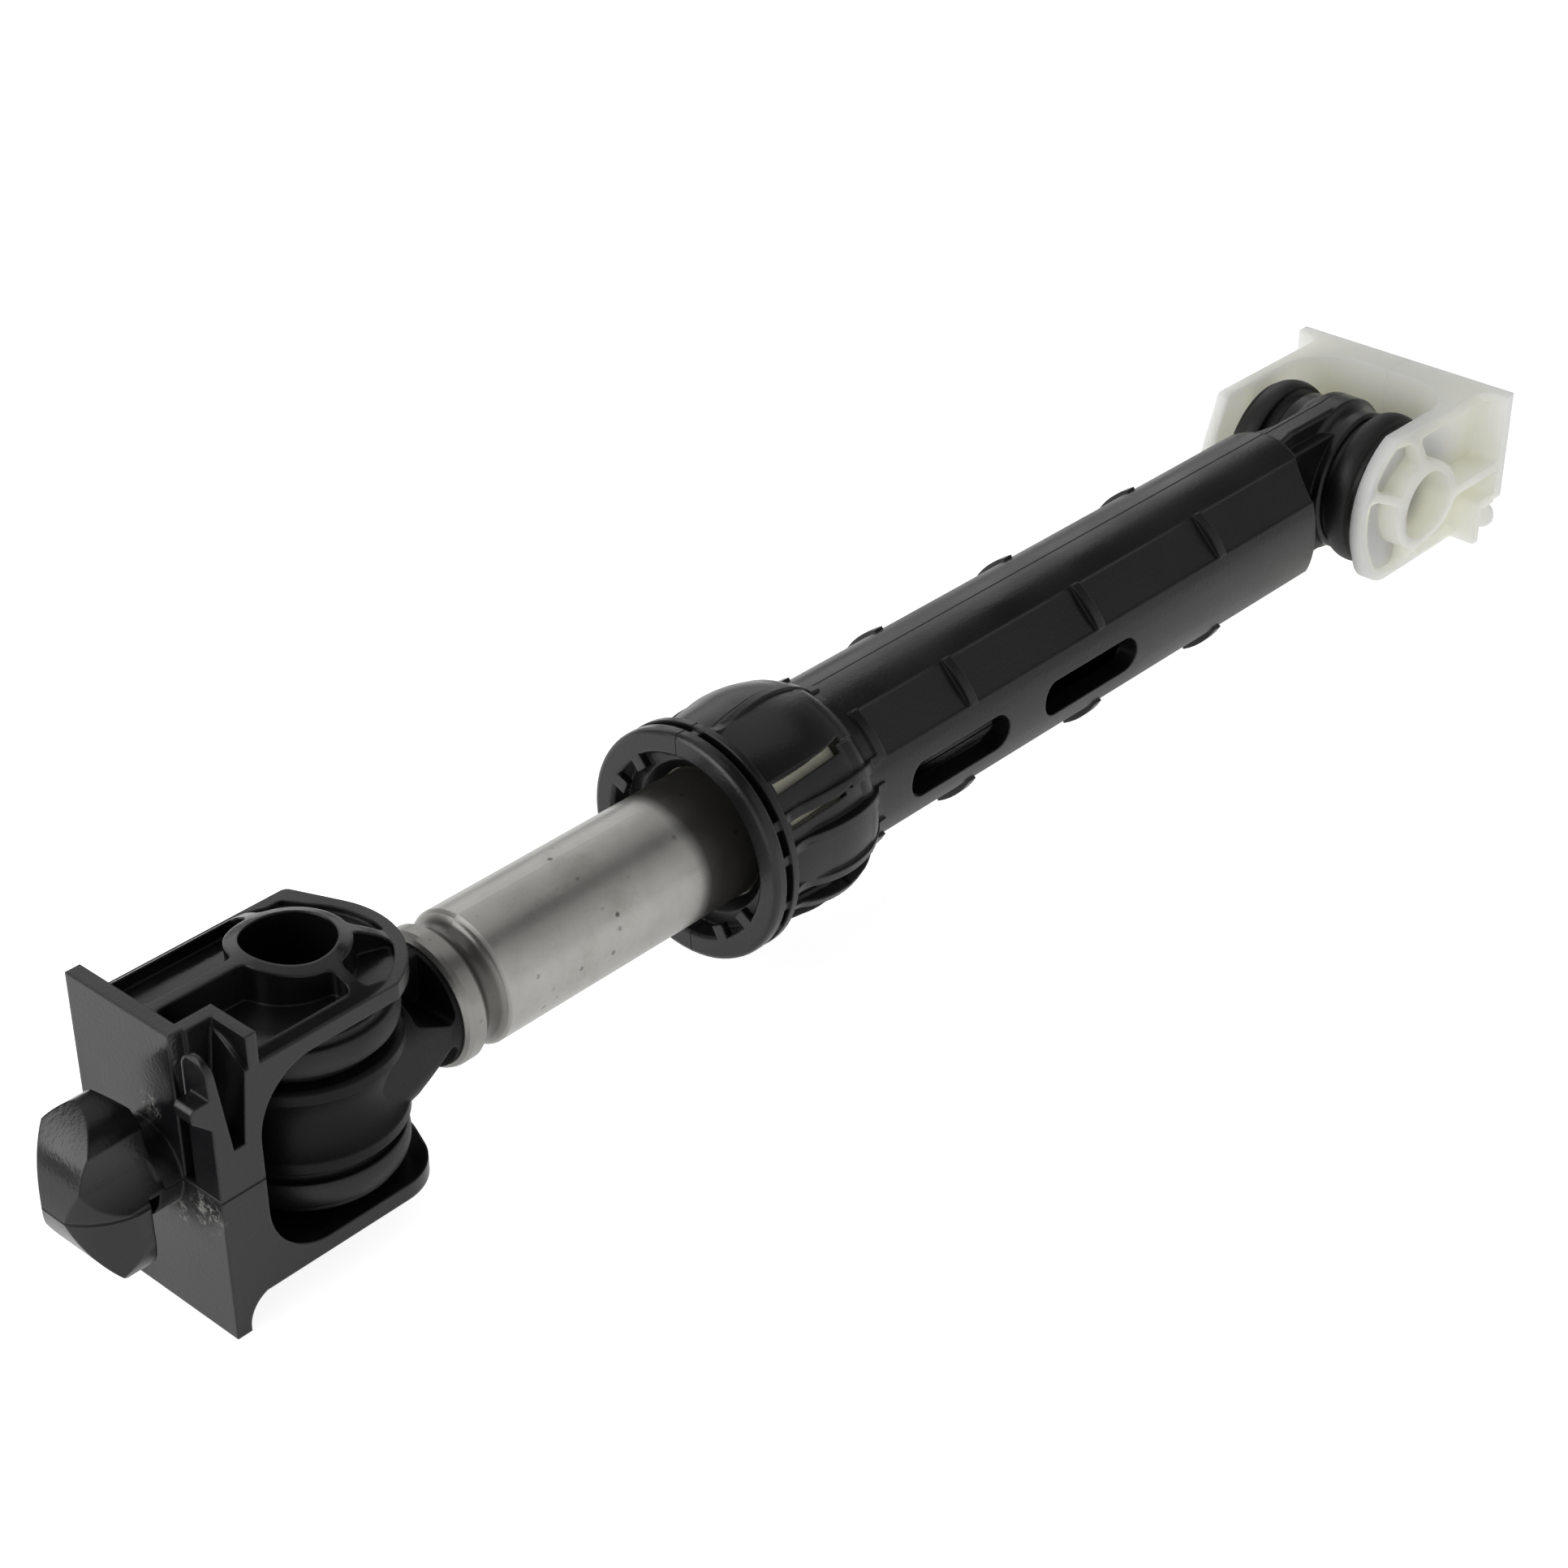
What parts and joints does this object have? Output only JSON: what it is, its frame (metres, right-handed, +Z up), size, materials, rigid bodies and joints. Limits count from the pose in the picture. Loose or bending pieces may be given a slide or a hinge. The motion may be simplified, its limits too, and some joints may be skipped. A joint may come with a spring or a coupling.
{
  "type": "washing machine shock absorber",
  "caption": "Friction damper for a washing machine: steel plunger tube in a caged plastic housing, with rubber-bushed swivel brackets at both ends.",
  "frame": {"origin": "centre of the lower base plate's outer face", "axes": "+X along the damper from the lower bracket to the upper one, +Z up along the lower hinge axis"},
  "size_m": [0.3106, 0.043, 0.043],
  "materials": {
    "black_housing": "moulded, light satin",
    "lining_foam": "greased foam",
    "zinc_steel": "zinc plated, dull and stained",
    "black_rod_end": "moulded, light satin",
    "bush_rubber": "moulded rubber, matte",
    "black_bracket": "moulded, light satin",
    "white_bracket": "moulded, slightly translucent natural white"
  },
  "bodies": {
    "housing": {"housing": "black_housing", "upper_bush_near": "bush_rubber", "upper_bush_far": "bush_rubber"},
    "lining": {"friction_lining": "lining_foam"},
    "plunger": {"plunger_tube": "zinc_steel", "rod_end": "black_rod_end", "lower_bush_top": "bush_rubber", "lower_bush_bottom": "bush_rubber"},
    "lower_bracket": {"lower_bracket": "black_bracket"},
    "upper_bracket": {"upper_bracket": "white_bracket"}
  },
  "joints": [
    {"name": "plunger_twist", "type": "hinge", "parent": "housing", "child": "lining", "pos_m": [0.095, 0, 0], "axis": [1, 0, 0], "continuous": true},
    {"name": "plunger_slide", "type": "slide", "parent": "lining", "child": "plunger", "axis": [1, 0, 0], "range_m": [-0.006, 0.046]},
    {"name": "lower_bracket_swivel", "type": "hinge", "parent": "plunger", "child": "lower_bracket", "pos_m": [0.02375, 0, 0], "axis": [0, 0, 1], "range_deg": [-90, 90]},
    {"name": "upper_bracket_swivel", "type": "hinge", "parent": "housing", "child": "upper_bracket", "pos_m": [0.257, 0, 0], "axis": [0, 1, 0], "range_deg": [-90, 90]}
  ]
}
